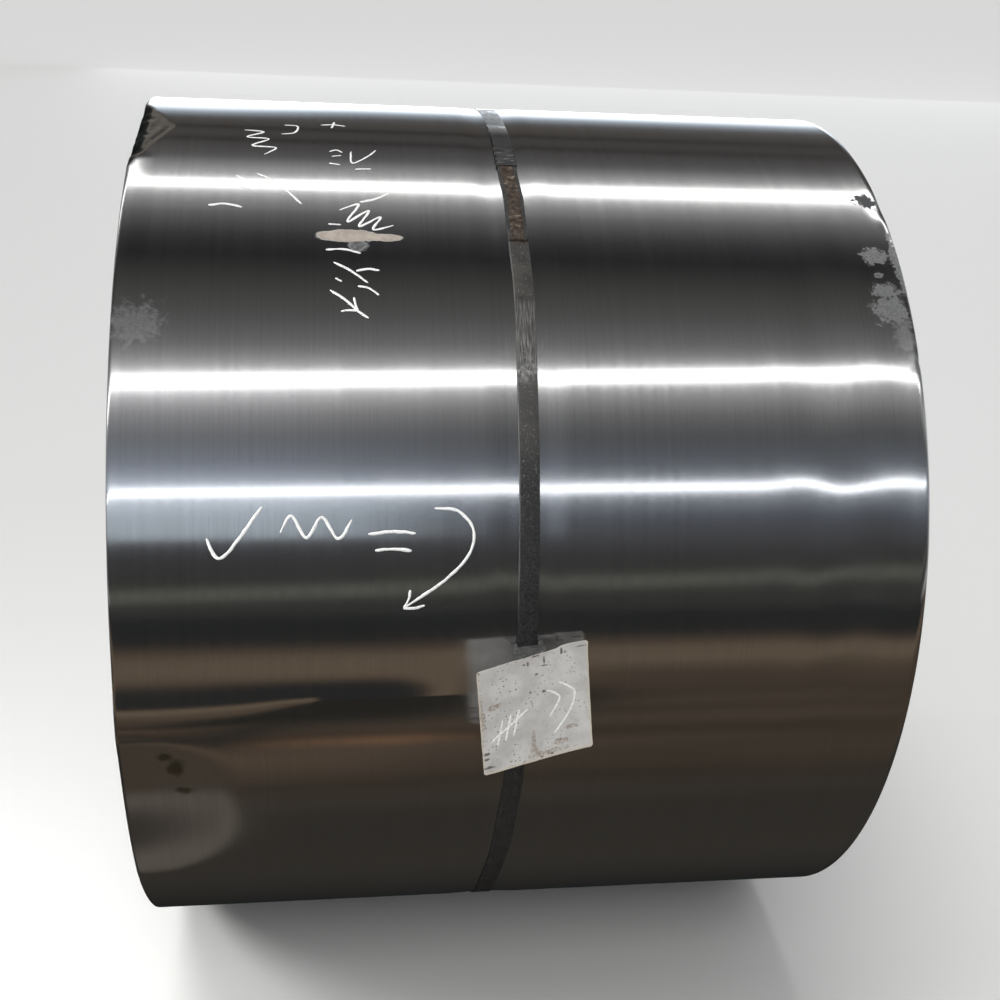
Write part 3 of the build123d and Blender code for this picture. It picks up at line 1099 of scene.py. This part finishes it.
bmesh.ops.spin(
    mesh, geom=ends + [rim], cent=(0, 0, 0), axis=(1, 0, 0), angle=-radians(180 + 2 * cloth_dip), steps=96,
)
overhead = new_object("glowing_overhead_cloth", mesh)
cloth = Finish("glowing_overhead_cloth")
parts = cloth.split(cloth.place)
elevation = cloth.turned(parts)
front_half = cloth.math("MULTIPLY_ADD", cloth.math("LESS_THAN", elevation, -1.0), 2 * pi, elevation)

# Its low tones slant a little along X, and its high ones rise towards the left
low_part = cloth.ramp(front_half, 0.12, 0.2, 1.0, 0.0)
tilted = cloth.times(parts["X"], low_part, -0.0065)
high_part = cloth.ramp(front_half, radians(148), radians(156))
raised = cloth.times(cloth.ramp(parts["X"], 0.5, -2.0, 0.0, radians(4.5)), high_part)
bent = cloth.math("ADD", cloth.math("ADD", front_half, tilted), raised)
tones = cloth.add("ValToRGB")
cloth.feed(tones.inputs["Fac"], cloth.math("DIVIDE", bent, radians(cloth_span)))
stops = tones.color_ramp.elements
for index, (place, tone) in enumerate(overhead_tones):
    stop = stops[index] if index < 2 else stops.new(1.0)
    stop.position = place / cloth_span
    stop.color = (*tone, 1)


def dark_line(angle, half_width, strength):
    """Mask of a thin line along the cloth, at an angle from the front's horizon."""
    away = cloth.math("ABSOLUTE", cloth.math("SUBTRACT", front_half, radians(angle)))
    return cloth.ramp(away, radians(half_width / 3), radians(half_width), strength, 0.0)


# Two painted dark lines give the steel's reflections their fine lines
dark_lines = cloth.most(dark_line(137.4, 1.3, 0.85), dark_line(145.2, 1.5, 0.8))
overhead_tone = cloth.mix(dark_lines, tones.outputs["Color"], (0.02, 0.02, 0.02))

# Painted reflections: brighter on the left between the two front lamps, a paler patch and a dark end that the
# folded corner sees
left_side = cloth.ramp(parts["X"], 2.2, -1.8)
above_low_lamp = cloth.ramp(front_half, radians(21), radians(28))
below_high_lamp = cloth.ramp(front_half, radians(62), radians(53))
brighter = cloth.times(above_low_lamp, below_high_lamp, left_side)
overhead_tone = cloth.mix(brighter, overhead_tone, (2.1, 2.1, 2.15), "MULTIPLY")
high_back = cloth.ramp(front_half, radians(126), radians(133))
pale_patch = cloth.times(high_back, cloth.ramp(parts["X"], -2.7, -3.4))
dark_end = cloth.times(high_back, cloth.ramp(parts["X"], -4.4, -5.2))
cloth.glow(cloth.layered(
    overhead_tone, (pale_patch, (0.185, 0.168, 0.145)), (dark_end, (0.025, 0.028, 0.027)),
))
cloth.coat(overhead)

# Floor cloth: a glowing brown sheet painted with what the steel mirrors below it, with painted shade of the
# coil under it, and darker far in front of it
cloth_front = -13.9
cloth_back = 0.3
mesh = bmesh.new()
near_ends = [mesh.verts.new((x, cloth_back, floor_z + 0.002)) for x in (-9, 9)]
pulled = bmesh.ops.extrude_edge_only(mesh, edges=[mesh.edges.new(near_ends)])
front_ends = [item for item in pulled["geom"] if isinstance(item, bmesh.types.BMVert)]
bmesh.ops.translate(mesh, verts=front_ends, vec=(0, cloth_front - cloth_back, 0))
glowing_floor_cloth = new_object("glowing_floor_cloth", mesh)
rug = Finish("glowing_floor_cloth")
along_floor, across_floor, _ = rug.split(rug.place)
streaks = rug.noise(1.0, 3.0, stretch=(0.4, 5.0, 1))
patches = rug.noise(1.0, 3.0, stretch=(0.3, 1.9, 1))
far_streak = rug.math("ABSOLUTE", rug.math("ADD", across_floor, 3.7))
far_streak = rug.ramp(far_streak, 0.2, 1.1, 1.0, 0.0)
far_streak = rug.times(far_streak, rug.ramp(streaks, 0.3, 0.6, 0.5, 1.0))

# Painted reflections: the dented lower left part of the coil mirrors a dark slanting streak, a dark patch and
# a pale ring painted on the cloth
slant = rug.math("MULTIPLY_ADD", along_floor, 1.2, across_floor)
slant_streak = rug.math("ABSOLUTE", rug.math("ADD", slant, 2.42))
slant_streak = rug.ramp(slant_streak, 0.05, 0.14, 1.0, 0.0)
slant_streak = rug.times(slant_streak, rug.ramp(along_floor, 0.0, -0.35))
rug.glow(rug.layered(
    rug.mix(rug.ramp(streaks, 0.3, 0.7), (0.052, 0.041, 0.031), (0.108, 0.083, 0.062)),
    (rug.ramp(patches, 0.52, 0.75), (0.16, 0.11, 0.072)),
    (far_streak, (0.20, 0.15, 0.105)),
    (rug.near((-0.15, -1.66, floor_z), 0.42, 0.9, (1, 5, 1)), (0.27, 0.15, 0.085)),
    (rug.ramp(across_floor, -1.32, -0.98), (0.050, 0.045, 0.038)),
    # Painted shade of the coil on the cloth under it, which the coil's lower part mirrors
    (rug.ramp(across_floor, -0.72, -0.3), (0.012, 0.013, 0.014)),
    (slant_streak, (0.030, 0.030, 0.028)),
    (rug.near((-0.16, -2.32, floor_z), 0.50, 0.45, (0.6, 1, 1)), (0.027, 0.027, 0.024)),
    (rug.near((-0.68, -0.98, floor_z), 0.22, 0.3, (1, 0.8, 1)), (0.150, 0.130, 0.108)),
    (rug.near((-0.78, -0.98, floor_z), 0.20, 0.5, (1, 1.1, 1)), (0.055, 0.047, 0.040)),
    (rug.ramp(across_floor, -4.6, -5.4), (0.027, 0.029, 0.030)),
))
rug.coat(glowing_floor_cloth)
for cloth_piece in (overhead, glowing_floor_cloth):
    cloth_piece.visible_camera = False
    cloth_piece.visible_diffuse = False
    cloth_piece.visible_shadow = False

# Pale surroundings, brighter where the camera, metal and glass see them than where they light matt surfaces
world = bpy.data.worlds.new("studio")
bpy.context.scene.world = world
world.use_nodes = True
tree = world.node_tree
backdrop = tree.nodes["Background"]
backdrop.inputs["Color"].default_value = (0.95, 0.98, 1.0, 1)
rays = tree.nodes.new("ShaderNodeLightPath")
level = tree.nodes.new("ShaderNodeMapRange")
shown = rays.outputs["Is Camera Ray"]
for name in ("Is Glossy Ray", "Is Transmission Ray"):
    total = tree.nodes.new("ShaderNodeMath")
    tree.links.new(shown, total.inputs[0])
    tree.links.new(rays.outputs[name], total.inputs[1])
    shown = total.outputs[0]
tree.links.new(shown, level.inputs["Value"])
level.inputs["To Min"].default_value = 0.45
level.inputs["To Max"].default_value = 0.80
tree.links.new(level.outputs["Result"], backdrop.inputs["Strength"])

# Camera: its turns in degrees, its lens in millimetres and its place in metres
camera_turns = ((65, "X"), (-7.65, "Y"), (-0.3, "Z"))
camera = bpy.data.objects.new("camera", bpy.data.cameras.new("camera"))
camera.data.lens = 45.69
camera.data.sensor_width = 36
place = Matrix.Translation((-0.3064, -2.4215, 1.1292))
for angle, axis in camera_turns:
    place = place @ Matrix.Rotation(radians(angle), 4, axis)
camera.matrix_world = place
bpy.context.scene.collection.objects.link(camera)
bpy.context.scene.camera = camera
bpy.context.scene.view_settings.view_transform = "Standard"
